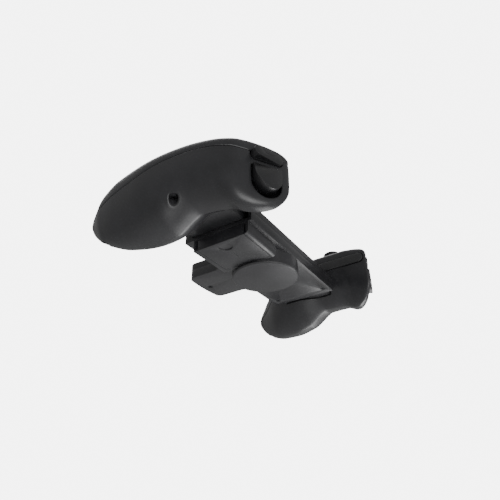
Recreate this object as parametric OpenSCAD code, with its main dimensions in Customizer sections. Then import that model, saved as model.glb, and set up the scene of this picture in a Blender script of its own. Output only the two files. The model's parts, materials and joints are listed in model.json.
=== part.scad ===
// Telescopic handheld radio transmitter in the shape of a game pad.
// Two hand grips stand at the ends of a flat bridge. The right grip sits on
// a tray that slides out of the bridge, so the bay between the grips takes a
// phone, which the padded inner walls hold. +Z is the control side, +Y is the
// shoulder side, +X is the end that pulls out. The origin is the middle of
// the footprint on the surface the transmitter rests on.

/* [Bridge] */
// Length of the bridge housing along X
bridge_l = 116; // [112:1:120]
// Width of the bridge housing along Y
bridge_w = 49; // [48:0.5:50]
// Thickness of the bridge housing
bridge_t = 11.7; // [11.4:0.1:12.2]
// Wall of the bridge housing
bridge_wall = 1.6; // [1.4:0.1:1.8]

/* [Slide] */
// Gap between the bridge mouth and the right grip when pushed in
grip_gap = 4.3; // [4:0.1:5]
// Diameter of the two guide rods
rod_d = 2.0; // [1.8:0.1:2.2]
// Distance of the guide rods from the middle of the bridge
rod_y = 20.7; // [20.5:0.1:20.9]

/* [Battery] */
// Length of the sliding battery cover along X
cover_l = 29; // [27:0.5:30]
// Width of the battery cover along Y
cover_w = 33.6; // [32:0.2:34]

/* [Boss] */
// Radius of the round housing of the radio module
boss_r = 22.3; // [20:0.1:22.5]

/* [Grips] */
// Wall of the grip shells
shell_t = 2.0; // [1.8:0.1:2.2]
// Height of the parting line at the front of a grip
split_z = 31; // [30.5:0.1:31.5]

/* [Controls] */
// Diameter of a thumbstick cap
cap_d = 13.6; // [12:0.1:14]
// Diameter of a face button
button_d = 8; // [7.5:0.1:8.2]
// Distance of the face buttons from the middle of their group
button_ring = 8.2; // [8:0.1:8.6]

/* [Hidden] */

black = [0.09, 0.09, 0.095];
dark = [0.14, 0.14, 0.145];
grey = [0.3, 0.3, 0.31];
off = [-2.15, 4.4, 9.58];         // bridge frame to the resting frame
xr = bridge_l/2 + grip_gap;  // inner wall of the right grip
xl = -bridge_l/2;            // inner wall of the left grip
za = 8;                      // underside of the bridge
zt = za + bridge_t;          // top of the bridge
zs = 14.7;                   // parting line of the bridge
hw = bridge_w/2;
stick_p = [16.5, 21];        // thumbstick in a grip: inwards wall, forward
pad_p = [19.5, -9];          // d-pad or face buttons
deck = 41.4;                 // flat top face of a grip

// Stations of a grip from front to tip: y, inner x, outer x, parting z,
// top z, bottom z and four corner exponents (top inner, top outer,
// bottom inner, bottom outer).
stations = [
 [ 53.4,  0,    5,    30.5, 34.6,  9.5, 4,   2.6, 2,   3],
 [ 50,    0,   11,    30.8, 37.4,  2.8, 5,   3.2, 1.9, 4],
 [ 45,    0,   19,    31, 39.2, -1.8, 6,   3.4, 1.7, 4],
 [ 39,    0,   28,    31, 40.4, -3.4, 7,   3.1, 1.6, 3.6],
 [ 35,    0,   32.5,  31, 40.8, -2.8, 8,   3,   1.5, 3.4],
 [ 26,    0,   38,    31, 40.9,  1.2, 8,   2.9, 1.5, 2.8],
 [ 10,    0,   43,    30, 41,    2.6, 8,   2.8, 1.4, 2.8],
 [ -7,    0,   45.4,  28, 41,   -7,   8,   2.8, 1.5, 2.8],
 [-22,    4.5, 46.3,  24, 40.2, -9.6, 6,   2.7, 1.6, 2.8],
 [-36,   13.5, 46.2,  20, 37.8, -8.6, 3,   2.5, 1.8, 2.6],
 [-48,   24,   44.8,  16, 31.2, -4.4, 2.3, 2.3, 2,   2.2],
 [-56.5, 31,   41,    14, 22.6,  2,   2.1, 2.1, 2,   2],
 [-60.8, 34,   38.6,  12, 16.5,  8,   2,   2,   2,   2],
 [-62.2, 35.6, 37,    12, 13.2, 11,   2,   2,   2,   2]];

// ---- helpers -------------------------------------------------------------
function sgn(v) = v < 0 ? -1 : 1;
function spow(v, e) = sgn(v)*pow(abs(v), e);
function last(v) = len(v) - 1;
// slope of column c at station i, limited so that the curve never overshoots
function secant(i, c) = (stations[i+1][c] - stations[i][c])/(stations[i+1][0] - stations[i][0]);
function slope(i, c) = i == 0 ? secant(0, c) : i == last(stations) ? secant(i-1, c)
  : let(a = secant(i-1, c), b = secant(i, c)) a*b <= 0 ? 0 : 2*a*b/(a+b);
function seg(y, i = 0) = i >= last(stations) - 1 || y >= stations[i+1][0] ? i : seg(y, i+1);
function hermite(y, c) = let(i = seg(y), y0 = stations[i][0], h = stations[i+1][0] - y0,
  t = (y - y0)/h)
  (2*t*t*t - 3*t*t + 1)*stations[i][c] + (t*t*t - 2*t*t + t)*h*slope(i, c)
  + (-2*t*t*t + 3*t*t)*stations[i+1][c] + (t*t*t - t*t)*h*slope(i+1, c);
// half of a grip section at y, as points from the outer to the inner parting
// line: s = 1 over the top, s = -1 under the bottom, w = wall taken off inside
m = 16;
function half(y, yp, s, w) = let(
    xi = hermite(y, 1) + w, xo = max(hermite(y, 2) - w, xi + 0.4), zp = hermite(y, 3),
    h = max(s > 0 ? hermite(y, 4) - zp - w : zp - hermite(y, 5) - w, 0.3),
    ei = hermite(y, s > 0 ? 6 : 8), eo = hermite(y, s > 0 ? 7 : 9),
    xc = (xi + xo)/2, a = (xo - xi)/2)
  [for (j = [0:m]) let(t = 180*j/m, c = cos(t), e = c >= 0 ? eo : ei)
    [xc + a*spow(c, 2/e), yp, zp + s*h*pow(max(sin(t), 0), 2/e)]];
ys = concat([53.4, 52.3, 51, 49.5, 47.5, 45, 42, 39, 36, 33], [for (y = [29:-5:-51]) y],
  [-54, -56.5, -58.8, -60.5, -61.5, -62.2]);
// the inside runs over the same stations, pulled in from both ends
function inside_y(y, w) = -4 + (y + 4)*(1 - w/55);
module half_shell(s, w) {
  n = len(ys);
  k = m + 1;
  pts = [for (y = ys) each half(y, y, s, 0),
         for (y = ys) each half(inside_y(y, w), inside_y(y, w), s, w)];
  function q(a, b, c, d) = s > 0 ? [[a, b, c], [a, c, d]] : [[c, b, a], [d, c, a]];
  faces = [
    for (i = [0:n-2], j = [0:m-1]) each q(i*k+j, (i+1)*k+j, (i+1)*k+j+1, i*k+j+1),
    for (i = [0:n-2], j = [0:m-1]) each q(n*k+i*k+j+1, n*k+(i+1)*k+j+1, n*k+(i+1)*k+j, n*k+i*k+j),
    for (i = [0:n-2]) each q(i*k, n*k+i*k, n*k+(i+1)*k, (i+1)*k),
    for (i = [0:n-2]) each q((i+1)*k+m, n*k+(i+1)*k+m, n*k+i*k+m, i*k+m),
    for (j = [1:m-1]) s > 0 ? [0, j, j+1] : [0, j+1, j],
    for (j = [1:m-1]) let(o = (n-1)*k) s > 0 ? [o, o+j+1, o+j] : [o, o+j, o+j+1],
    for (j = [1:m-1]) let(o = n*k) s > 0 ? [o, o+j+1, o+j] : [o, o+j, o+j+1],
    for (j = [1:m-1]) let(o = (2*n-1)*k) s > 0 ? [o, o+j, o+j+1] : [o, o+j+1, o+j],
    each q(0, m, n*k+m, n*k),
    each let(o = (n-1)*k, u = (2*n-1)*k) q(o+m, o, u, u+m)];
  polyhedron(points = pts, faces = faces, convexity = 6);
}

module place() { translate(off) children(); }
module in_right() { place() translate([xr, 0, 0]) children(); }
module in_left() { place() translate([xl, 0, 0]) mirror([1, 0, 0]) children(); }
// frame of the slanted shoulder face: X along it, Y out of it
module on_face() { translate([13.3, 47.6, 0]) rotate([0, 0, -31]) children(); }
module bore(d, h) { cylinder(d = d, h = h, $fn = 48); }
module slab(x0, x1, y0, y1, z0, z1) { translate([x0, y0, z0]) cube([x1-x0, y1-y0, z1-z0]); }

// ---- bridge --------------------------------------------------------------
// plan outline of the bridge and its console lobe, pulled in by d
module outline(d) {
  translate([-bridge_l/2 + d, -hw + d]) square([bridge_l - 2*d, bridge_w - 2*d]);
  intersection() {
    union() {
      translate([-17.6 + d, -48.5]) square([36.5 - 2*d, 40]);
      translate([-11.6, -54.5 + d]) square([24.5, 40]);
      translate([-11.6, -48.5]) circle(r = 6 - d, $fn = 48);
      translate([12.9, -48.5]) circle(r = 6 - d, $fn = 48);
    }
    translate([0.6, 65.5]) circle(r = 120 - d, $fn = 180);
  }
  difference() {
    translate([-26.6 + d, -33.5 + d]) square([12, 12]);
    translate([-26.6, -33.5]) circle(r = 9 + d, $fn = 60);
  }
  difference() {
    translate([14, -30.5 + d]) square([10.9 - d, 9]);
    translate([24.9, -30.5]) circle(r = 6 + d, $fn = 60);
  }
}
bx0 = 25.2; bx1 = bridge_l/2 - 0.2; by0 = -17.6; by1 = 22;
cx1 = bx1; cx0 = cx1 - cover_l - 1.5;
cy0 = 2.2 - cover_w/2; cy1 = 2.2 + cover_w/2;
screw_xy = [[-50.6, -22+2.6], [-50.6, 19.4], [50.6, -20.6], [0.4, -48.2]];

module bridge_lower_shell() place() color(black) difference() {
  union() {
    translate([0, 0, za]) linear_extrude(zs - za) outline(0);
    // neck that carries the left grip
    slab(-71, -57, -18.4, 18.4, 10.8, zs);
    // battery box with a rounded long edge
    slab(bx0, bx1, by0, by1 - 3, 0, za + 0.2);
    slab(bx0, bx1, by0, by1, 3, za + 0.2);
    translate([bx0, by1 - 3, 3]) rotate([0, 90, 0]) cylinder(r = 3, h = bx1 - bx0, $fn = 48);
    // round housing of the radio module
    translate([6.05, 2.4, -1.3]) cylinder(r = boss_r, h = za + 1.5, $fn = 120);
    translate([6.05, 2.4, -2.1]) cylinder(r1 = boss_r - 0.8, r2 = boss_r, h = 0.8, $fn = 120);
  }
  // inside of the tray
  difference() {
    translate([0, 0, za + 1.6]) linear_extrude(zs) outline(bridge_wall);
    // blocks that hold the guide rods, and screw posts
    for (y = [-rod_y, rod_y]) {
      slab(-57, -53, y - 2.4, y + 2.4, za, zs);
      slab(50, 54, y - 2, y + 2.4, za, zs);
    }
    translate([0.4, -48.2, za]) cylinder(r = 2.4, h = 6.6, $fn = 40);
  }
  // mouth for the slider tray
  slab(50, 60, -19.2, 18.6, 10.4, zs + 1);
  slab(54, 60, 18, 22.6, 10.4, zs + 1);
  // hollow of the radio housing
  translate([6.05, 2.4, -0.5]) cylinder(r = boss_r - 1.8, h = 12, $fn = 120);
  // battery bay, its mouth at the end and the cover's seat
  slab(cx0 + 1.5, bx1 - 1.8, cy0 + 1.4, cy1 - 1.4, -1, za + 0.4);
  slab(cx0, bx1 + 1, cy0, cy1, -1, 1.5);
  slab(bx1 - 1.6, bx1 + 1, cy0, cy1, -1, za - 0.3);
  // shallow margins beside the cover's end wall
  slab(bx1 - 0.9, bx1 + 1, by0 + 0.9, by1 - 1.8, 1.2, za - 0.3);
  for (y = [-rod_y, rod_y]) translate([-56.4, y, 12.4]) rotate([0, 90, 0]) bore(rod_d + 0.08, 111);
  for (p = screw_xy) {
    translate([p[0], p[1], za - 3]) bore(2.2, 11);
    translate([p[0], p[1], za - 1]) bore(3.9, 2.3);
  }
  // marks that show which way the cover goes
  slab(46.5, 47.1, -22.9, -21.5, za - 1, za + 0.35);
}

module bridge_upper_shell() place() color(black) difference() {
  union() {
    translate([0, 0, zs]) linear_extrude(zt - zs) outline(0);
    slab(-71, -57, -18.4, 18.4, zs, 17.4);
  }
  difference() {
    translate([0, 0, zs - 1]) linear_extrude(zt - bridge_wall - zs + 1) outline(bridge_wall);
    translate([0.4, -48.2, zs - 2]) cylinder(r = 2.3, h = 9, $fn = 40);
  }
  slab(54, 60, -19.2, 22.6, zs - 1, 17.7);
  translate([0.4, -48.2, zs - 2.5]) bore(1.7, 6);
  // seat of the rubber pad
  slab(-45, 47, -17, 17, zt - 0.5, zt + 1);
  // button holes and light slots of the console
  for (b = console) translate([b[0], b[1], zs]) bore(2*b[2] + 0.6, 9);
  for (i = [-1:2]) slab(-8.4 + i*3.4 + 6, -6.6 + i*3.4 + 6, -52.1, -51.3, zs, zt + 1);
}
// home, select, start and turbo buttons: x, y, radius
console = [[0.6, -40.2, 4.2], [-9.4, -36.5, 2.6], [10.6, -36.5, 2.6], [0.6, -31.4, 2.2]];
module press_button(b, h) {
  translate([b[0], b[1], 17.2]) cylinder(r = b[2] + 0.9, h = 0.6, $fn = 48);
  translate([b[0], b[1], 17.2]) cylinder(r = b[2], h = zt - 17.2 + h - 0.4, $fn = 64);
  translate([b[0], b[1], zt + h - 0.4]) cylinder(r1 = b[2], r2 = b[2] - 0.4, h = 0.4, $fn = 64);
}
module home_button() place() color(dark) press_button(console[0], 1.0);
module select_button() place() color(dark) press_button(console[1], 1.0);
module start_button() place() color(dark) press_button(console[2], 1.0);
module turbo_button() place() color(dark) press_button(console[3], 1.0);

module console_mat() place() color(grey) difference() {
  slab(-13.4, 14.8, -45.4, -27.6, 15.6, 16.0);
  for (x = [-11.5, 13]) translate([x, -43.6, 15]) bore(1.6, 2);
}

module bridge_pad() place() color(dark) difference() {
  slab(-44.8, 46.8, -16.8, 16.8, zt - 0.45, zt + 0.3);
  for (i = [0:8]) slab(-38 + i*10, -37 + i*10, -13, 13, zt, zt + 1);
}

module battery_pack() place() color("silver") {
  slab(cx0 + 1.8, bx1 - 2.1, cy0 + 1.7, cy1 - 1.7, 1.9, 7.7);
}
module battery_contacts() place() color("gold") for (i = [0:2])
  slab(cx0 + 3 + i*4, cx0 + 4.6 + i*4, cy1 - 9, cy1 - 4, 7.9, 8.3);

module battery_cover() place() color(black) difference() {
  union() {
    slab(cx0 + 0.2, bx1, cy0 + 0.2, cy1 - 0.2, 0, 1.4);
    // end wall with a rounded upper corner
    slab(bx1 - 1.5, bx1, cy0 + 0.2, cy1 - 0.2, 0, za - 2);
    slab(bx1 - 1.5, bx1, cy0 + 1.6, cy1 - 0.2, 0, za - 0.5);
    translate([bx1 - 1.5, cy0 + 1.7, za - 2]) rotate([0, 90, 0]) cylinder(r = 1.5, h = 1.5, $fn = 40);
  }
  // half-moon finger notch and a direction mark
  translate([bx1 - 5.5, 2.2, -0.9]) intersection() {
    cylinder(r = 4.6, h = 1.6, $fn = 60);
    slab(-5, 1.4, -5, 5, -1, 3);
  }
  slab(38, 44, 2, 2.4, -1, 0.25);
}

module bridge_screws() place() color("dimgray") for (p = screw_xy) {
  translate([p[0], p[1], za + 0.3]) difference() {
    cylinder(d = 3.5, h = 1.0, $fn = 40);
    slab(-1.1, 1.1, -0.25, 0.25, -1, 0.6);
    slab(-0.25, 0.25, -1.1, 1.1, -1, 0.6);
  }
  translate([p[0], p[1], za + 1.3]) cylinder(d = 1.6, h = p[1] > -30 ? 1.7 : 7.5, $fn = 32);
}
module guide_rods() place() color("silver") for (y = [-rod_y, rod_y])
  translate([-56.4, y, 12.4]) rotate([0, 90, 0]) cylinder(d = rod_d, h = 110.2, $fn = 40);
// compression springs round the rods, from the tray's ears to the mouth blocks
module return_springs() place() color("silver") for (y = [-rod_y, rod_y])
  translate([-4.8, y, 12.4]) rotate([0, 90, 0]) rotate_extrude($fn = 40)
    polygon(concat([for (i = [0:36]) [i % 2 == 0 ? 1.7 : 1.4, i*54.6/36]], [[1.2, 54.6], [1.2, 0]]));
module main_board() place() color([0.05, 0.25, 0.12]) union() {
  slab(-52, -15, -18, 18, 14.3, 15.3);
  slab(-15.4, 16.6, -46, -26, 14.3, 15.3);
  slab(-15.4, -12.6, -30, -17, 14.3, 15.3);
  slab(-40, -32, -6, 2, 15.3, 16.4);
  slab(-26, -20, 4, 9, 15.3, 16.2);
  slab(-30, -26, -14, -10, 15.3, 16.6);
}
module radio_module() place() color([0.05, 0.2, 0.3]) {
  difference() {
    translate([6.05, 2.4, 2.2]) cylinder(r = 18.5, h = 1, $fn = 90);
    for (a = [45:90:315]) translate([6.05 + 15*cos(a), 2.4 + 15*sin(a), 1]) bore(2, 3);
  }
  slab(-1, 13, -4, 8, 3.2, 5.2);
}
module status_lights() place() color([0.2, 0.35, 0.5]) for (i = [-1:2])
  slab(-8.3 + i*3.4 + 6, -6.7 + i*3.4 + 6, -52, -51.4, 17.4, zt);

// ---- grips ---------------------------------------------------------------
well = [[38.5, 3], [11, -19], [35.5, -49.5], [10, 33]];  // screw wells of a grip
pad_y0 = -27; pad_y1 = 51.4;
module pad_shape(d) {
  translate([0, pad_y0 + 3.5, 29.6]) rotate([0, 90, 0]) cylinder(r = 3.5 + d, h = 3, $fn = 48);
  translate([0, pad_y1 - 3.5, 29.6]) rotate([0, 90, 0]) cylinder(r = 3.5 + d, h = 3, $fn = 48);
  slab(0, 3, pad_y0 + 3.5, pad_y1 - 3.5, 26.1 - d, 33.1 + d);
}
module clamp_pad() intersection() {
  translate([-1.1, 0, 0]) pad_shape(0);
  slab(-1.1, 0.7, -30, 56, 20, 40);
}
module d_outline(r, z0, z1) {
  translate([1.9 - r, z0]) square([2*r, z1 - z0]);
  translate([1.9, z0]) circle(r = r, $fn = 72);
}
module pill(g) {
  translate([-5.2, 25.9 - g]) square([13, 6.6 + 2*g]);
  for (u = [-5.2, 7.8]) translate([u, 29.2]) circle(r = 3.3 + g, $fn = 48);
}
module along_v(v0, v1) { translate([0, v1, 0]) rotate([90, 0, 0]) linear_extrude(v1 - v0) children(); }
module face_cut() on_face() {
  along_v(-5.5, 12) d_outline(9.1, 11.8, 22.2);
  along_v(-3.5, 12) pill(0.35);
}
hinge_v = -3.9;
hinge_z = 20;
module lugs() on_face() difference() {
  for (u = [-8.8, 11.6]) slab(u, u + 1.5, -5.6, -0.3, 18.2, 21.8);
  translate([-12, hinge_v, hinge_z]) rotate([0, 90, 0]) bore(2.08, 30);
}
module grip_top() difference() {
  half_shell(1, shell_t);
  translate([stick_p[0], stick_p[1], 34]) bore(17.6, 12);
  children();
  face_cut();
  translate([-0.01, 0, 0]) intersection() { pad_shape(0.2); slab(-1, 0.8, -30, 56, 20, 40); }
}
module grip_bottom() difference() {
  union() {
    half_shell(-1, shell_t);
    lugs();
  }
  face_cut();
  translate([-0.01, 0, 0]) intersection() { pad_shape(0.2); slab(-1, 0.8, -30, 56, 20, 40); }
  for (p = [well[0], well[2]]) translate([p[0], p[1], -14]) bore(5, p[1] > 0 ? 30 : 24);
  children();
}
module left_grip_top() in_left() color(black) grip_top() cross(1.4, 34, 12);
module right_grip_top() in_right() color(black) grip_top()
  for (a = [0:90:270]) translate([pad_p[0] + button_ring*cos(a), pad_p[1] + button_ring*sin(a), 34]) bore(button_d + 0.6, 12);
module left_grip_bottom() in_left() color(black) { grip_bottom() slab(-1, 13.5, -18.9, 18.9, 10.5, 17.7); }
module right_grip_bottom() in_right() color(black) { grip_bottom() slab(-1, 16, -18.9, 18.9, 10.5, 17.7); }

module left_clamp_pad() in_left() color(dark) clamp_pad();
module right_clamp_pad() in_right() color(dark) clamp_pad();
module grip_screws() for (p = [well[0], well[2]]) translate([p[0], p[1], p[1] > 0 ? 6 : 5]) {
  difference() {
    cylinder(d = 4.2, h = 1.4, $fn = 40);
    slab(-1.3, 1.3, -0.3, 0.3, -1, 0.8);
    slab(-0.3, 0.3, -1.3, 1.3, -1, 0.8);
  }
  translate([0, 0, 1.4]) cylinder(d = 2, h = 6, $fn = 32);
}
module left_grip_screws() in_left() color("dimgray") grip_screws();
module right_grip_screws() in_right() color("dimgray") grip_screws();

// circuit board under the deck
module board() difference() {
  union() {
    slab(6, 33, -16, 12, 24, 25.2);
    slab(6, 30, 11, 32, 24, 25.2);
    slab(24, 28, 30, 31.6, 25.2, 26);
  }
  for (p = [[9, 30], [9, -14], [31, 9]]) translate([p[0], p[1], 23]) bore(2.2, 4);
}
module left_board() in_left() color([0.05, 0.25, 0.12]) {
  board();
  // cradle of the direction pad's pivot
  difference() {
    for (y = [-5.2, 4]) slab(pad_p[0] - 1.5, pad_p[0] + 1.5, pad_p[1] + y, pad_p[1] + y + 1.2, 25, 35.8);
    translate([pad_p[0], pad_p[1] - 6, 34.6]) rotate([-90, 0, 0]) bore(1.7, 12);
  }
}
module right_board() in_right() color([0.05, 0.25, 0.12]) board();
module button_mat() difference() {
  union() {
    slab(8.5, 30.5, -15.4, 4, 25.3, 26.1);
    for (a = [0:90:270]) translate([pad_p[0] + button_ring*cos(a), pad_p[1] + button_ring*sin(a), 26.1]) cylinder(r1 = 3.4, r2 = 2.4, h = 2, $fn = 48);
  }
  for (p = [[10.4, 2], [28.6, 2]]) translate([p[0], p[1], 24]) bore(2, 3);
  // clear of the direction pad's cradle
  for (y = [-5.2, 4]) slab(pad_p[0] - 1.8, pad_p[0] + 1.8, pad_p[1] + y - 0.2, pad_p[1] + y + 1.4, 24, 30);
}
module left_button_mat() in_left() color(grey) button_mat();
module right_button_mat() in_right() color(grey) button_mat();

// ---- thumbstick ----------------------------------------------------------
pz = 33.3;  // height of the gimbal
module at_stick() translate([stick_p[0], stick_p[1], pz]) children();
module stick_base() at_stick() difference() {
  slab(-7.5, 7.5, -7.5, 7.5, -7, 1.8);
  slab(-6, 6, -6, 6, -5.5, 3);
  translate([0, -9, 0]) rotate([-90, 0, 0]) bore(2.1, 18);
}
module stick_yoke() at_stick() difference() {
  union() {
    slab(-4.4, 4.4, -4.4, 4.4, -1.2, 1.2);
    translate([0, -7.4, 0]) rotate([-90, 0, 0]) cylinder(d = 2, h = 14.8, $fn = 40);
  }
  slab(-2.9, 2.9, -2.9, 2.9, -2, 2);
  translate([-6, 0, 0]) rotate([0, 90, 0]) bore(1.7, 12);
}
module stick() at_stick() {
  difference() {
    union() {
      translate([0, 0, -2]) cylinder(r = 1.9, h = 11, $fn = 48);
      translate([-4.2, 0, 0]) rotate([0, 90, 0]) cylinder(d = 1.6, h = 8.4, $fn = 40);
      // dome that keeps the hole closed
      difference() {
        sphere(r = 8.6, $fn = 80);
        sphere(r = 7.8, $fn = 80);
        slab(-10, 10, -10, 10, -10, 5.4);
      }
    }
    translate([0, 0, -3]) bore(0.8, 3);
  }
  translate([0, 0, 9]) cylinder(r = 2.6, h = 3.2, $fn = 48);
}
module stick_cap() at_stick() difference() {
  union() {
    translate([0, 0, 12.2]) cylinder(r1 = cap_d/2 - 0.7, r2 = cap_d/2, h = 0.9, $fn = 80);
    translate([0, 0, 13.1]) cylinder(r = cap_d/2, h = 1.3, $fn = 80);
    translate([0, 0, 14.4]) cylinder(r1 = cap_d/2, r2 = cap_d/2 - 0.7, h = 0.7, $fn = 80);
  }
  translate([0, 0, 14.2]) cylinder(r = cap_d/2 - 1.9, h = 3, $fn = 80);
}
module left_stick_base() in_left() color(dark) stick_base();
module right_stick_base() in_right() color(dark) stick_base();
module left_stick_yoke() in_left() color("silver") stick_yoke();
module right_stick_yoke() in_right() color("silver") stick_yoke();
module left_stick() in_left() color(dark) stick();
module right_stick() in_right() color(dark) stick();
module left_stick_cap() in_left() color(black) stick_cap();
module right_stick_cap() in_right() color(black) stick_cap();

// ---- direction pad and face buttons --------------------------------------
module cross(g, z0, h) translate([pad_p[0], pad_p[1], z0]) {
  slab(-9.5 - g/2, 9.5 + g/2, -3.3 - g/2, 3.3 + g/2, 0, h);
  slab(-3.3 - g/2, 3.3 + g/2, -9.5 - g/2, 9.5 + g/2, 0, h);
}
module d_pad_pivot() in_left() color(grey) translate([pad_p[0], pad_p[1], 34.6]) difference() {
  union() {
    slab(-2.6, 2.6, -2.6, 2.6, -0.9, 0.9);
    translate([0, -5.1, 0]) rotate([-90, 0, 0]) cylinder(d = 1.6, h = 10.2, $fn = 40);
  }
  translate([-4, 0, 0]) rotate([0, 90, 0]) bore(1.1, 8);
}
module d_pad() in_left() color(dark) {
  difference() {
    cross(0, 38.4, 5.2);
    translate([pad_p[0], pad_p[1], 43]) cylinder(r1 = 1.8, r2 = 3, h = 1, $fn = 48);
  }
  translate([pad_p[0], pad_p[1], 36.6]) cylinder(r = 8.4, h = 0.8, $fn = 80);
  translate([pad_p[0], pad_p[1], 36.8]) cylinder(r = 3.1, h = 1.9, $fn = 48);
  // axle and its two cheeks
  translate([pad_p[0], pad_p[1], 34.6]) {
    translate([-4.2, 0, 0]) rotate([0, 90, 0]) cylinder(d = 1, h = 8.4, $fn = 32);
    for (x = [-4.2, 3]) slab(x, x + 1.2, -0.9, 0.9, -0.8, 2.8);
  }
}
module face_button(a) translate([pad_p[0] + button_ring*cos(a), pad_p[1] + button_ring*sin(a), 0]) {
  translate([0, 0, 36.6]) cylinder(r = button_d/2 + 0.6, h = 0.8, $fn = 64);
  translate([0, 0, 37.4]) cylinder(r = button_d/2, h = 5.5, $fn = 64);
  translate([0, 0, 42.9]) cylinder(r1 = button_d/2, r2 = button_d/2 - 0.7, h = 0.6, $fn = 64);
}
module button_east() in_right() color(dark) face_button(0);
module button_north() in_right() color(dark) face_button(90);
module button_west() in_right() color(dark) face_button(180);
module button_south() in_right() color(dark) face_button(270);

// ---- shoulder button and trigger -----------------------------------------
module bumper() on_face() {
  difference() {
    intersection() {
      along_v(-3, 10) pill(0);
      translate([0, 0, 20]) linear_extrude(20) polygon([[-10, -3], [13, -3], [13, 5.5], [-10, 0.7]]);
    }
    // plain tactile mark
    translate([1.5, 3.4, 29]) rotate([0, 0, 12]) slab(-2.2, 2.2, -0.35, 1, 0, 0.6);
  }
  slab(-9.2, 11.8, -4.2, -3, 25.2, 33.1);
}
// side view of the trigger: out of the face, height
module trigger_side() polygon([[-1.2, 21.9], [1.7, 21.9], [2.4, 21.2], [5.6, 8], [5, 6], [-3, 6],
  [-4.2, 12], [-4.4, 17.6], [-5.5, 18.6], [-5.5, 21.4], [-5, 21.9]]);
module trigger() on_face() difference() {
  intersection() {
    translate([-8, 0, 0]) rotate([90, 0, 90]) linear_extrude(20) trigger_side();
    along_v(-7, 12) d_outline(8.65, 14.9, 22);
    linear_extrude(30) polygon([[-8, -7], [12, -7], [12, 6], [-8, 1.6]]);
  }
  translate([-12, hinge_v, hinge_z]) rotate([0, 90, 0]) bore(2.12, 30);
}
module trigger_pin() on_face() translate([-8.6, hinge_v, hinge_z]) rotate([0, 90, 0]) cylinder(d = 2, h = 21.6, $fn = 40);
// short torsion spring beside the trigger, round its pin
module trigger_spring() on_face() translate([10.8, hinge_v, hinge_z]) rotate([0, 90, 0]) rotate_extrude($fn = 40)
  polygon([[1.2, 0], [1.7, 0], [1.55, 0.16], [1.7, 0.33], [1.55, 0.5], [1.7, 0.66], [1.2, 0.66]]);
module left_bumper() in_left() color(black) bumper();
module right_bumper() in_right() color(black) bumper();
module left_trigger() in_left() color(black) trigger();
module right_trigger() in_right() color(black) trigger();
module left_trigger_pin() in_left() color("silver") trigger_pin();
module right_trigger_pin() in_right() color("silver") trigger_pin();
module left_trigger_spring() in_left() color("silver") trigger_spring();
module right_trigger_spring() in_right() color("silver") trigger_spring();

// ---- slider --------------------------------------------------------------
module slider_tray() place() color(black) {
  difference() {
    slab(-9, xr + 13.6, -18.4, 18.4, 10.8, 17.4);
    slab(-12, xr + 20, -16.8, 16.8, 12.6, 20);
    for (i = [0:2]) translate([10 + i*16, 0, 9]) bore(6, 6);
  }
  // ears that run on the guide rods
  difference() {
    for (s = [-1, 1]) slab(-9, -5, s > 0 ? 18.2 : -22.4, s > 0 ? 22.4 : -18.2, 10.8, 14);
    for (y = [-rod_y, rod_y]) translate([-12, y, 12.4]) rotate([0, 90, 0]) bore(rod_d + 0.12, 12);
  }
}
module ribbon_cable() place() color([0.55, 0.3, 0.1]) slab(-8, xr + 13, -5, 5, 12.8, 13.0);

bridge_lower_shell();
bridge_upper_shell();
bridge_pad();
battery_pack();
battery_contacts();
bridge_screws();
guide_rods();
return_springs();
main_board();
radio_module();
console_mat();
status_lights();
left_grip_top();
left_grip_bottom();
left_clamp_pad();
left_board();
left_stick_base();
left_button_mat();
left_grip_screws();
left_trigger_pin();
left_trigger_spring();
battery_cover();
home_button();
select_button();
start_button();
turbo_button();
left_stick_yoke();
left_stick();
left_stick_cap();
d_pad_pivot();
d_pad();
left_bumper();
left_trigger();
slider_tray();
ribbon_cable();
right_grip_top();
right_grip_bottom();
right_clamp_pad();
right_board();
right_stick_base();
right_button_mat();
right_grip_screws();
right_trigger_pin();
right_trigger_spring();
right_stick_yoke();
right_stick();
right_stick_cap();
button_north();
button_east();
button_south();
button_west();
right_bumper();
right_trigger();
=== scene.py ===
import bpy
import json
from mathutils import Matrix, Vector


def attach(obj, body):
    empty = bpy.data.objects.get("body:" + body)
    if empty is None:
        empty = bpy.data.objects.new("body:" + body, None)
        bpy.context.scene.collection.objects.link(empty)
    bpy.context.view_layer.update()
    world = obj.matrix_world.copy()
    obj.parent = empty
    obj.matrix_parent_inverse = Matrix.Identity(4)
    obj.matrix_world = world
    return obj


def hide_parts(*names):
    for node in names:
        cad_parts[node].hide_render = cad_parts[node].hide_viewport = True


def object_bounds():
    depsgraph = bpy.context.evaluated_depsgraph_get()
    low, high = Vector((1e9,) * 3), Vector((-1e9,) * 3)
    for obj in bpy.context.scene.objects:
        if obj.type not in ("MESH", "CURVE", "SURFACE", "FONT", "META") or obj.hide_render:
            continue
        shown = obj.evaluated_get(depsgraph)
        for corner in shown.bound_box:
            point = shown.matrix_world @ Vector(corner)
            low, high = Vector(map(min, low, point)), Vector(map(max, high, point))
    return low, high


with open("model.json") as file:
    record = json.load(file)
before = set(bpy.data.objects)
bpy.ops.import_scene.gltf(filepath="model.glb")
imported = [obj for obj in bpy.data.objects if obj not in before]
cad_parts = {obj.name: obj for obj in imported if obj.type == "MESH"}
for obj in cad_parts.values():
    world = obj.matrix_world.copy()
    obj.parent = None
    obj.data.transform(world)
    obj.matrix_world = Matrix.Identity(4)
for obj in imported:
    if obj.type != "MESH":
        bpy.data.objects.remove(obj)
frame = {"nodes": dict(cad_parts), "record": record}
cad_box = [list(map(float, c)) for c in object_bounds()]

import json, math
import bpy, bmesh
import numpy as np
from mathutils import Matrix, Vector

MM = 0.001
OFF = np.array([-2.15, 4.4, 9.58])      # bridge frame to the row frame, mm
XR, XL = 62.3, -58.0
ROOT, RIGHT = "bridge_and_left_grip", "right_grip"
HI = 0.55     # cell of the fields, mm

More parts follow.
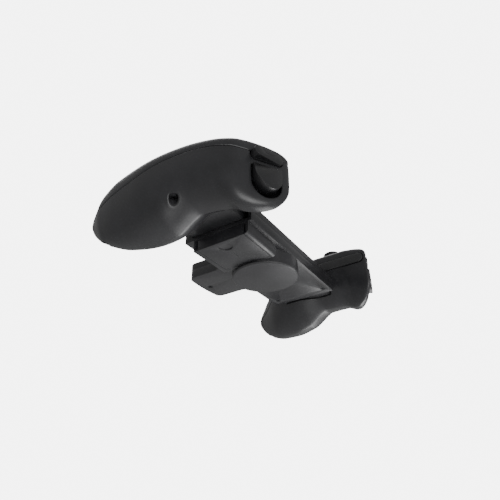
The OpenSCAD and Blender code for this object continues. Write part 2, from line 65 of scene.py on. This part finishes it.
# ---------------------------------------------------------------- camera
R = np.array([[-0.53866167, 0.84232336, -0.01830195],
              [-0.41875393, -0.28651441, -0.8617161],
              [-0.73108738, -0.45650942, 0.50706055]])
C = np.array([242.279, 138.203, -139.890]) + OFF
cam_data = bpy.data.cameras.new("camera")
cam_data.sensor_width = 36
cam_data.lens = 453.573/500*36
cam_data.clip_start = 0.01
cam = bpy.data.objects.new("camera", cam_data)
m = Matrix(((R[0][0], -R[1][0], -R[2][0], C[0]*MM), (R[0][1], -R[1][1], -R[2][1], C[1]*MM),
            (R[0][2], -R[1][2], -R[2][2], C[2]*MM), (0, 0, 0, 1)))
cam.matrix_world = m
bpy.context.scene.collection.objects.link(cam)
bpy.context.scene.camera = cam


# ---------------------------------------------------------------- fields
def smin(a, b, k):
    h = np.maximum(k - np.abs(a - b), 0)
    return np.minimum(a, b) - h*h/(4*k)


def smax(a, b, k):
    h = np.maximum(k - np.abs(a - b), 0)
    return np.maximum(a, b) + h*h/(4*k)


def box_d(P, lo, hi, r=0.0):
    """Distance to a box with rounded edges, P is (X, Y, Z)."""
    c = [(a + b)/2 for a, b in zip(lo, hi)]
    q = [np.abs(p - cc) - ((b - a)/2 - r) for p, cc, a, b in zip(P, c, lo, hi)]
    out = np.sqrt(sum(np.maximum(v, 0)**2 for v in q))
    return out + np.minimum(np.maximum(np.maximum(q[0], q[1]), q[2]), 0) - r


def cyl_d(P, axis, c, r, lo=None, hi=None, rr=0.0):
    i, j = [k for k in range(3) if k != axis]
    d = np.sqrt((P[i] - c[0])**2 + (P[j] - c[1])**2) - r
    if lo is None:
        return d
    e = np.abs(P[axis] - (lo + hi)/2) - (hi - lo)/2
    q0, q1 = d + rr, e + rr
    return np.sqrt(np.maximum(q0, 0)**2 + np.maximum(q1, 0)**2) + np.minimum(np.maximum(q0, q1), 0) - rr


def surface_net(f, lo, h):
    """Closed quad surface of f = 0 on a regular grid, with its vertices drawn onto the surface."""
    nx, ny, nz = f.shape
    neg = f < 0
    acc = np.zeros((nx-1, ny-1, nz-1, 3))
    cnt = np.zeros((nx-1, ny-1, nz-1))
    for ax in range(3):
        others = [k for k in range(3) if k != ax]
        for o1 in (0, 1):
            for o2 in (0, 1):
                s0 = [None]*3
                s1 = [None]*3
                s0[ax], s1[ax] = slice(0, -1), slice(1, None)
                for o, k in ((o1, others[0]), (o2, others[1])):
                    s0[k] = s1[k] = slice(0, -1) if o == 0 else slice(1, None)
                a, b = f[tuple(s0)], f[tuple(s1)]
                cr = neg[tuple(s0)] != neg[tuple(s1)]
                t = np.where(cr, a/np.where(cr, a - b, 1), 0)
                cnt += cr
                acc[..., ax] += np.where(cr, t, 0)
                if o1:
                    acc[..., others[0]] += cr
                if o2:
                    acc[..., others[1]] += cr
    act = cnt > 0
    idx = -np.ones(act.shape, np.int64)
    idx[act] = np.arange(act.sum())
    cells = np.argwhere(act)
    loc = cells + acc[act]/cnt[act][:, None]
    quads = []
    for ax in range(3):
        o1, o2 = [(1, 2), (2, 0), (0, 1)][ax]
        s = [slice(1, -1)]*3
        s[ax] = slice(0, -1)
        s2 = list(s)
        s2[ax] = slice(1, None)
        n0, n1 = neg[tuple(s)], neg[tuple(s2)]
        cr = np.argwhere(n0 != n1)
        if not len(cr):
            continue
        base = cr.copy()
        base[:, [k for k in range(3) if k != ax]] += 1
        flip = n0[tuple(cr.T)]

        def cell(d1, d2):
            c = base.copy()
            c[:, o1] += d1
            c[:, o2] += d2
            return idx[tuple(c.T)]
        q = np.stack([cell(-1, -1), cell(0, -1), cell(0, 0), cell(-1, 0)], 1)
        q = np.where(flip[:, None], q, q[:, ::-1])
        quads.append(q)
    quads = np.concatenate(quads)
    g = np.gradient(f)

    def sample(a, p):
        i = np.clip(np.floor(p).astype(int), 0, np.array(a.shape) - 2)
        t = p - i
        r = 0
        for dx in (0, 1):
            for dy in (0, 1):
                for dz in (0, 1):
                    w = (t[:, 0] if dx else 1-t[:, 0])*(t[:, 1] if dy else 1-t[:, 1])*(t[:, 2] if dz else 1-t[:, 2])
                    r = r + w*a[i[:, 0]+dx, i[:, 1]+dy, i[:, 2]+dz]
        return r
    start = loc.copy()
    for _ in range(3):
        v = sample(f, loc)
        gr = np.stack([sample(a, loc) for a in g], 1)
        step = -v[:, None]*gr/np.maximum((gr**2).sum(1), 0.05)[:, None]
        loc = start + np.clip(loc + 0.8*step - start, -0.5, 0.5)
    return np.array(lo) + h*loc, quads


def field_mesh(name, f, lo, h, place, smooth=1, ratio=None):
    """A Blender object from a field. place maps local mm to row mm and says if it mirrors."""
    v, q = surface_net(f, lo, h)
    for _ in range(smooth):
        e = np.concatenate([q[:, [0, 1]], q[:, [1, 2]], q[:, [2, 3]], q[:, [3, 0]]])
        s = np.zeros_like(v)
        n = np.zeros(len(v))
        for a, b in ((0, 1), (1, 0)):
            np.add.at(s, e[:, a], v[e[:, b]])
            np.add.at(n, e[:, a], 1)
        v = 0.6*v + 0.4*s/n[:, None]
    v, mirror = place(v)
    if mirror:
        q = q[:, ::-1]
    me = bpy.data.meshes.new(name)
    me.vertices.add(len(v))
    me.vertices.foreach_set("co", (v*MM).astype(np.float32).ravel())
    me.loops.add(len(q)*4)
    me.loops.foreach_set("vertex_index", q.astype(np.int32).ravel())
    me.polygons.add(len(q))
    me.polygons.foreach_set("loop_start", np.arange(0, len(q)*4, 4, dtype=np.int32))
    me.polygons.foreach_set("loop_total", np.full(len(q), 4, np.int32))
    me.update(calc_edges=True)
    me.validate()
    me.polygons.foreach_set("use_smooth", np.ones(len(me.polygons), bool))
    ob = bpy.data.objects.new(name, me)
    bpy.context.scene.collection.objects.link(ob)
    return ob


def grid(lo, hi, h):
    ax = [np.arange(a, b + h, h) for a, b in zip(lo, hi)]
    return np.meshgrid(*ax, indexing="ij")


# ---------------------------------------------------------------- grip form
# y, inner x, outer x, parting z, top z, bottom z, exponents: top inner,
# top outer, bottom inner, bottom outer; the same stations as the shells have
STATIONS = np.array([
    [ 53.4,  0,    5,    30.5, 34.6,  9.5, 4,   2.6, 2,   3],
    [ 50,    0,   11,    30.8, 37.4,  2.8, 5,   3.2, 1.9, 4],
    [ 45,    0,   19,    31, 39.2, -1.8, 6,   3.4, 1.7, 4],
    [ 39,    0,   28,    31, 40.4, -3.4, 7,   3.1, 1.6, 3.6],
    [ 35,    0,   32.5,  31, 40.8, -2.8, 8,   3,   1.5, 3.4],
    [ 26,    0,   38,    31, 40.9,  1.2, 8,   2.9, 1.5, 2.8],
    [ 10,    0,   43,    30, 41,    2.6, 8,   2.8, 1.4, 2.8],
    [ -7,    0,   45.4,  28, 41,   -7,   8,   2.8, 1.5, 2.8],
    [-22,    4.5, 46.3,  24, 40.2, -9.6, 6,   2.7, 1.6, 2.8],
    [-36,   13.5, 46.2,  20, 37.8, -8.6, 3,   2.5, 1.8, 2.6],
    [-48,   24,   44.8,  16, 31.2, -4.4, 2.3, 2.3, 2,   2.2],
    [-56.5, 31,   41,    14, 22.6,  2,   2.1, 2.1, 2,   2],
    [-60.8, 34,   38.6,  12, 16.5,  8,   2,   2,   2,   2],
    [-62.2, 35.6, 37,    12, 13.2, 11,   2,   2,   2,   2]])[::-1]


def stations_at(y):
    s = STATIONS
    ys = s[:, 0]
    sec = np.diff(s, axis=0)/np.diff(ys)[:, None]
    sl = np.zeros_like(s)
    sl[0], sl[-1] = sec[0], sec[-1]
    a, b = sec[:-1], sec[1:]
    ok = a*b > 0
    sl[1:-1] = np.where(ok, 2*a*b/np.where(ok, a + b, 1), 0)
    y = np.clip(y, ys[0], ys[-1])
    i = np.clip(np.searchsorted(ys, y) - 1, 0, len(ys) - 2)
    h = (ys[i+1] - ys[i])[:, None]
    t = ((y - ys[i])/h[:, 0])[:, None]
    return ((2*t**3 - 3*t**2 + 1)*s[i] + (t**3 - 2*t**2 + t)*h*sl[i]
            + (-2*t**3 + 3*t**2)*s[i+1] + (t**3 - t**2)*h*sl[i+1])


CA, SA = math.cos(math.radians(-31)), math.sin(math.radians(-31))


def face_uv(P):
    dx, dy = P[0] - 13.3, P[1] - 47.6
    return dx*CA + dy*SA, -dx*SA + dy*CA


def grip_field(P, h):
    X, Y, Z = P
    s = stations_at(P[1][0, :, 0])
    g = [s[:, k][None, :, None] for k in range(10)]
    xi, xo, zp, zt, zb = g[1:6]
    xc, a = (xi + xo)/2, (xo - xi)/2
    up = Z >= zp
    dx = (X - xc)/a
    dz = np.where(up, (Z - zp)/(zt - zp), (zp - Z)/(zp - zb))
    e = np.where(up, np.where(dx < 0, g[6], g[7]), np.where(dx < 0, g[8], g[9]))
    r = (np.abs(dx)**e + np.abs(dz)**e)**(1/e)
    gr = np.gradient(r, h)
    d = (r - 1)/np.maximum(np.sqrt(sum(v*v for v in gr)), 1e-3)
    u, v = face_uv(P)
    d = smax(d, Y - 53.3, 1.8)
    d = smax(d, v - 0.35, 1.6)
    d = smax(d, -62.1 - Y, 1.5)
    return d, zp


STICK, PAD = (16.5, 21), (19.5, -9)
WELLS = [(38.5, 3), (35.5, -49.5)]


def build_grip(side):
    """Top and bottom shell of one grip, from the same form."""
    lo, hi = (-2.0, -65.5, -12.5), (50.0, 56.0, 44.5)
    h = HI
    P = grid(lo, hi, h)
    X, Y, Z = P
    d, zp = grip_field(P, h)
    body = smax(d, -(d + 2.0), 0.3)
    u, v = face_uv(P)
    # openings for the shoulder button and the trigger, with broken edges
    uc = np.clip(u, -5.2, 7.8)
    bump = np.maximum(np.hypot(u - uc, Z - 29.2) - 3.55, -3.5 - v)
    dd = np.where(Z < 11.8, np.hypot(u - 1.9, Z - 11.8) - 9.0, np.maximum(np.abs(u - 1.9) - 9.0, Z - 22.1))
    trig = np.maximum(dd, -5.5 - v)
    body = smax(body, -bump, 0.5)
    body = smax(body, -trig, 0.5)
    # seat of the clamp pad
    yc = np.clip(Y, -23.5, 47.9)
    padd = np.maximum(np.hypot(Y - yc, Z - 29.6) - 3.75, X - 0.8)
    body = smax(body, -padd, 0.25)
    top = smax(body, zp + 0.12 - Z, 0.35)
    bot = smax(body, Z - zp + 0.12, 0.35)
    for uu in (-8.8, 11.6):
        lug = box_d((u, v, Z), (uu, -5.6, 18.2), (uu + 1.5, -0.3, 21.8), 0.2)
        lug = np.maximum(np.maximum(lug, d), 1.1 - np.hypot(v + 3.9, Z - 20))
        bot = np.minimum(bot, lug)
    stick = np.hypot(X - STICK[0], Y - STICK[1])
    # thumbstick opening with a softly rounded edge
    top = smax(top, -np.maximum(stick - 8.8, 30 - Z), 0.9)
    if side > 0:
        for a in range(4):
            bx, by = PAD[0] + 8.2*math.cos(a*math.pi/2), PAD[1] + 8.2*math.sin(a*math.pi/2)
            top = smax(top, -np.maximum(np.hypot(X - bx, Y - by) - 4.3, 30 - Z), 0.6)
    else:
        q = (X - PAD[0], Y - PAD[1], Z)
        cr = np.minimum(box_d(q, (-10.2, -4.0, 30), (10.2, 4.0, 60), 0.5),
                        box_d(q, (-4.0, -10.2, 30), (4.0, 10.2, 60), 0.5))
        top = smax(top, -cr, 0.6)
    for w in WELLS:
        well = np.hypot(X - w[0], Y - w[1])
        bot = smin(bot, np.maximum(np.maximum(well - 3.6, d), Z - 9), 0.4)
        bot = smax(bot, -np.maximum(well - 2.4, Z - 7.2), 0.4)
    if side > 0:
        slot = box_d(P, (-4, -18.8, 10.5), (15, 18.8, 17.7), 0.4)
    else:
        slot = box_d(P, (-4, -18.8, 10.5), (13.5, 18.8, 17.7), 0.4)
    bot = smax(bot, -slot, 0.6)

    def place(vv):
        o = vv.copy()
        o[:, 0] = XR + vv[:, 0] if side > 0 else XL - vv[:, 0]
        return np.clip(o + OFF, np.array(cad_box[0])*1000, np.array(cad_box[1])*1000), side < 0
    n = "right" if side > 0 else "left"
    t = field_mesh(n + "_grip_top_shell", top, lo, h, place)
    b = field_mesh(n + "_grip_bottom_shell", bot, lo, h, place)
    for ob, node in ((t, n + "_grip_top"), (b, n + "_grip_bottom")):
        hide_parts(node)
        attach(ob, RIGHT if side > 0 else ROOT)
    return t, b


# ---------------------------------------------------------------- materials
def material(name, base, rough, grain=2600.0, bump=0.12, dist=0.00003, spread=0.25, metal=0.0, coat=0.0, spec=0.5, worn=0.0, tint=None):
    mt = bpy.data.materials.new(name)
    mt.use_nodes = True
    nt = mt.node_tree
    b = nt.nodes["Principled BSDF"]
    b.inputs["Metallic"].default_value = metal
    b.inputs["Specular IOR Level"].default_value = spec
    b.inputs["Coat Weight"].default_value = coat
    b.inputs["Coat Roughness"].default_value = 0.25
    tc = nt.nodes.new("ShaderNodeTexCoord")

    def noise(scale, detail=3.0, rg=0.5):
        n = nt.nodes.new("ShaderNodeTexNoise")
        n.inputs["Scale"].default_value = scale
        n.inputs["Detail"].default_value = detail
        n.inputs["Roughness"].default_value = rg
        nt.links.new(tc.outputs["Object"], n.inputs["Vector"])
        return n
    broad = noise(45.0, 4.0)
    fine = noise(grain, 2.0)
    ramp = nt.nodes.new("ShaderNodeValToRGB")
    lo = [c*(1 - spread) for c in base]
    hi = [min(c*(1 + spread), 1) for c in (tint or base)]
    ramp.color_ramp.elements[0].position = 0.3
    ramp.color_ramp.elements[0].color = (*lo, 1)
    ramp.color_ramp.elements[1].position = 0.7
    ramp.color_ramp.elements[1].color = (*hi, 1)
    nt.links.new(broad.outputs["Fac"], ramp.inputs["Fac"])
    mix = nt.nodes.new("ShaderNodeMix")
    mix.data_type = "RGBA"
    mix.blend_type = "MULTIPLY"
    mix.inputs["Factor"].default_value = 0.25
    nt.links.new(ramp.outputs["Color"], mix.inputs["A"])
    nt.links.new(fine.outputs["Color"], mix.inputs["B"])
    colour = mix.outputs["Result"]
    nt.links.new(colour, b.inputs["Base Color"])
    rr = nt.nodes.new("ShaderNodeMapRange")
    rr.inputs["From Min"].default_value = 0.3
    rr.inputs["From Max"].default_value = 0.7
    rr.inputs["To Min"].default_value = max(rough - 0.06, 0.05)
    rr.inputs["To Max"].default_value = min(rough + 0.06, 1)
    smudge = noise(90.0, 5.0, 0.6)
    nt.links.new(smudge.outputs["Fac"], rr.inputs["Value"])
    nt.links.new(rr.outputs["Result"], b.inputs["Roughness"])
    bp = nt.nodes.new("ShaderNodeBump")
    bp.inputs["Strength"].default_value = bump
    bp.inputs["Distance"].default_value = dist
    nt.links.new(fine.outputs["Fac"], bp.inputs["Height"])
    nt.links.new(bp.outputs["Normal"], b.inputs["Normal"])
    return mt


MATS = {
    "black_shell": material("moulded_black", (0.017, 0.017, 0.019), 0.38, bump=0.25, dist=0.00004),
    "trigger_plastic": material("trigger_black", (0.009, 0.009, 0.01), 0.36, bump=0.2),
    "button_plastic": material("button_black", (0.014, 0.014, 0.015), 0.28, bump=0.05, coat=0.2),
    "stick_plastic": material("stick_black", (0.015, 0.015, 0.016), 0.4),
    "black_rubber": material("soft_rubber", (0.014, 0.014, 0.015), 0.62, grain=1800, bump=0.4, dist=0.00006),
    "silicone_mat": material("grey_silicone", (0.33, 0.34, 0.36), 0.55),
    "circuit_board": material("solder_mask", (0.015, 0.14, 0.06), 0.3, coat=0.4),
    "bright_steel": material("drawn_steel", (0.62, 0.62, 0.63), 0.28, metal=1.0, grain=900),
    "gimbal_steel": material("pressed_steel", (0.5, 0.5, 0.51), 0.38, metal=1.0, grain=700),
    "black_screws": material("blackened_steel", (0.06, 0.06, 0.065), 0.38, metal=1.0, grain=900),
    "contact_brass": material("plated_brass", (0.75, 0.55, 0.22), 0.25, metal=1.0),
    "light_pipe": material("light_pipe", (0.5, 0.58, 0.68), 0.3, coat=0.3),
    "battery_wrap": material("battery_wrap", (0.42, 0.44, 0.47), 0.35, grain=600, bump=0.3),
    "ribbon": material("polyimide", (0.5, 0.26, 0.06), 0.3, coat=0.3),
}
SLOT = {s["node"]: s["material_slot"] for s in frame["record"]["subparts"]}


def paint(ob, slot):
    ob.data.materials.clear()
    ob.data.materials.append(MATS[slot])


def refine(node, width=0.25, angle=32, seg=2):
    """The CAD node's own form with its edges broken, as moulding and machining leave them."""
    src = frame["nodes"][node]
    me = bpy.data.meshes.new(node + "_finished")
    bm = bmesh.new()
    bm.from_mesh(src.data)
    bmesh.ops.remove_doubles(bm, verts=bm.verts, dist=2e-6)
    bmesh.ops.dissolve_limit(bm, angle_limit=math.radians(0.6), verts=bm.verts, edges=bm.edges)
    sharp = [e for e in bm.edges if len(e.link_faces) == 2 and e.calc_face_angle(0) > math.radians(angle)]
    bmesh.ops.bevel(bm, geom=sharp, offset=width*MM, segments=seg, profile=0.5, affect="EDGES",
                    clamp_overlap=True, offset_type="OFFSET")
    bm.to_mesh(me)
    bm.free()
    me.polygons.foreach_set("use_smooth", np.ones(len(me.polygons), bool))
    for e in me.edges:
        pass
    me.set_sharp_from_angle(angle=math.radians(38))
    ob = bpy.data.objects.new(node + "_finished", me)
    bpy.context.scene.collection.objects.link(ob)
    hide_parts(node)
    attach(ob, body_of_node[node])
    paint(ob, SLOT[node])
    return ob


body_of_node = {n: b for b, ns in frame["record"]["behaviour"]["bodies"].items() for n in ns}
for side in (1, -1):
    for ob in build_grip(side):
        paint(ob, "black_shell")

FINE = {"bridge_lower_shell": 0.35, "bridge_upper_shell": 0.45, "battery_cover": 0.25, "slider_tray": 0.3,
        "left_clamp_pad": 0.5, "right_clamp_pad": 0.5, "bridge_pad": 0.2, "left_bumper": 0.5, "right_bumper": 0.5,
        "left_trigger": 0.7, "right_trigger": 0.7, "d_pad": 0.5, "left_stick_cap": 0.2, "right_stick_cap": 0.2}
done = {"left_grip_top", "left_grip_bottom", "right_grip_top", "right_grip_bottom"}
for n in frame["nodes"]:
    if n in done:
        continue
    if n in FINE:
        refine(n, FINE[n])
    elif n.startswith("button_") or n.endswith("_button") or n in ("battery_pack",):
        refine(n, 0.15)
    else:
        paint(frame["nodes"][n], SLOT[n])

# ---------------------------------------------------------------- stage
def plane(name, size, z, colour):
    me = bpy.data.meshes.new(name)
    s = size/2
    me.from_pydata([(-s, -s, z), (s, -s, z), (s, s, z), (-s, s, z)], [], [(0, 1, 2, 3)])
    ob = bpy.data.objects.new(name, me)
    bpy.context.scene.collection.objects.link(ob)
    mt = bpy.data.materials.new(name)
    mt.use_nodes = True
    mt.node_tree.nodes["Principled BSDF"].inputs["Base Color"].default_value = colour
    mt.node_tree.nodes["Principled BSDF"].inputs["Roughness"].default_value = 0.9
    me.materials.append(mt)
    return ob


plane("floor", 6.0, -0.42, (0.9, 0.9, 0.9, 1))
world = bpy.data.worlds.new("studio")
bpy.context.scene.world = world
world.use_nodes = True
wn = world.node_tree
soft = wn.nodes["Background"]
soft.inputs["Color"].default_value = (1, 1, 1, 1)
soft.inputs["Strength"].default_value = 0.45
# the backdrop itself is blown out, as a white studio sweep is, and doesn't flood the plastic
drop = wn.nodes.new("ShaderNodeBackground")
drop.inputs["Color"].default_value = (1, 1, 1, 1)
drop.inputs["Strength"].default_value = 6.0
path = wn.nodes.new("ShaderNodeLightPath")
mixw = wn.nodes.new("ShaderNodeMixShader")
wn.links.new(path.outputs["Is Camera Ray"], mixw.inputs[0])
wn.links.new(soft.outputs[0], mixw.inputs[1])
wn.links.new(drop.outputs[0], mixw.inputs[2])
wn.links.new(mixw.outputs[0], wn.nodes["World Output"].inputs["Surface"])


def area(name, loc, target, size, power):
    ld = bpy.data.lights.new(name, "AREA")
    ld.size = size
    ld.energy = power
    ob = bpy.data.objects.new(name, ld)
    ob.location = loc
    ob.rotation_euler = (Vector(target) - Vector(loc)).to_track_quat("-Z", "Y").to_euler()
    bpy.context.scene.collection.objects.link(ob)


area("key", (0.3, 0.5, -0.3), (0, 0, 0.02), 0.5, 4.0)
area("top", (-0.2, -0.3, 0.8), (0, 0, 0.02), 0.8, 4.0)
area("under", (-0.35, 0.1, -0.38), (0, 0, 0.02), 0.4, 3.5)
